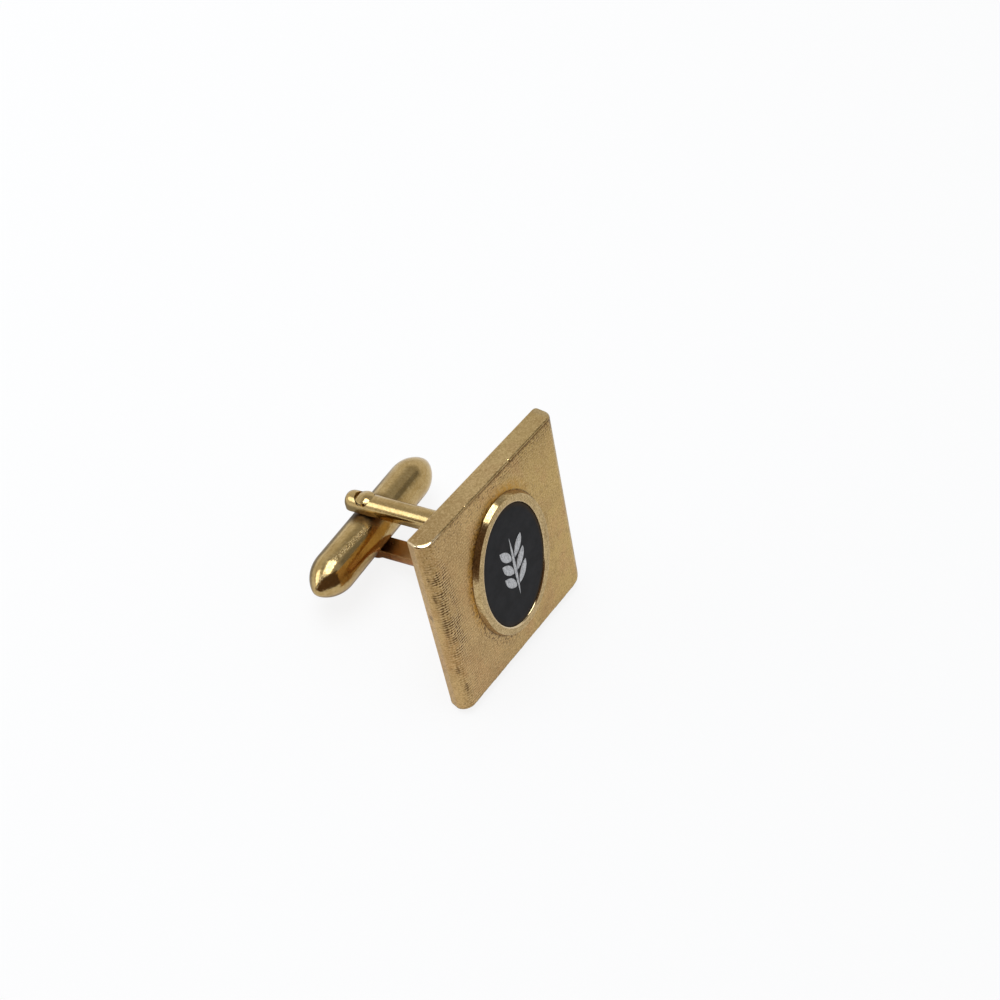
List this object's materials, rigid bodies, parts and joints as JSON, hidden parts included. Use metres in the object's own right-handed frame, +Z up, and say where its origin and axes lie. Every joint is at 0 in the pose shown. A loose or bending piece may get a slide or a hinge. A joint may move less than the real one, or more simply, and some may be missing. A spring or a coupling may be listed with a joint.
{
  "type": "cufflink",
  "caption": "Square cufflink with a raised oval inlay on a satin face and a bullet-ended toggle that swivels in a fork behind it.",
  "frame": {"origin": "on the table under the middle of the bounding box, with the cufflink lying as it rests by itself, on the lower back edge of the face and the end of the lower fork arm", "axes": "+X along the face's width, to the right as seen from the front; +Y to the back, towards the toggle; +Z up from the table"},
  "size_m": [0.0194, 0.0198, 0.0183],
  "materials": {
    "satin_gold": "gold plated, satin with a fine linen texture",
    "polished_gold": "gold plated, polished and lightly scratched",
    "black_inlay": "smooth black, low gloss",
    "silver": "silver, brushed",
    "spring_steel": "rolled strip"
  },
  "bodies": {
    "face": {"face_plate": "satin_gold", "bezel_ring": "satin_gold", "inlay": "black_inlay", "motif_stem": "silver", "motif_leaves": "silver", "fork_foot": "polished_gold", "upper_arm": "polished_gold", "lower_arm": "polished_gold", "pivot_pin": "polished_gold"},
    "toggle": {"toggle_barrel": "polished_gold", "toggle_cap_left": "polished_gold", "toggle_cap_right": "polished_gold", "detent_spring": "spring_steel"}
  },
  "joints": [
    {"name": "toggle_swivel", "type": "hinge", "parent": "face", "child": "toggle", "pos_m": [-0.00066, 0.00696, 0.0037], "axis": [0, 0.4119, 0.9112], "continuous": true, "deforming": ["detent_spring"]}
  ]
}
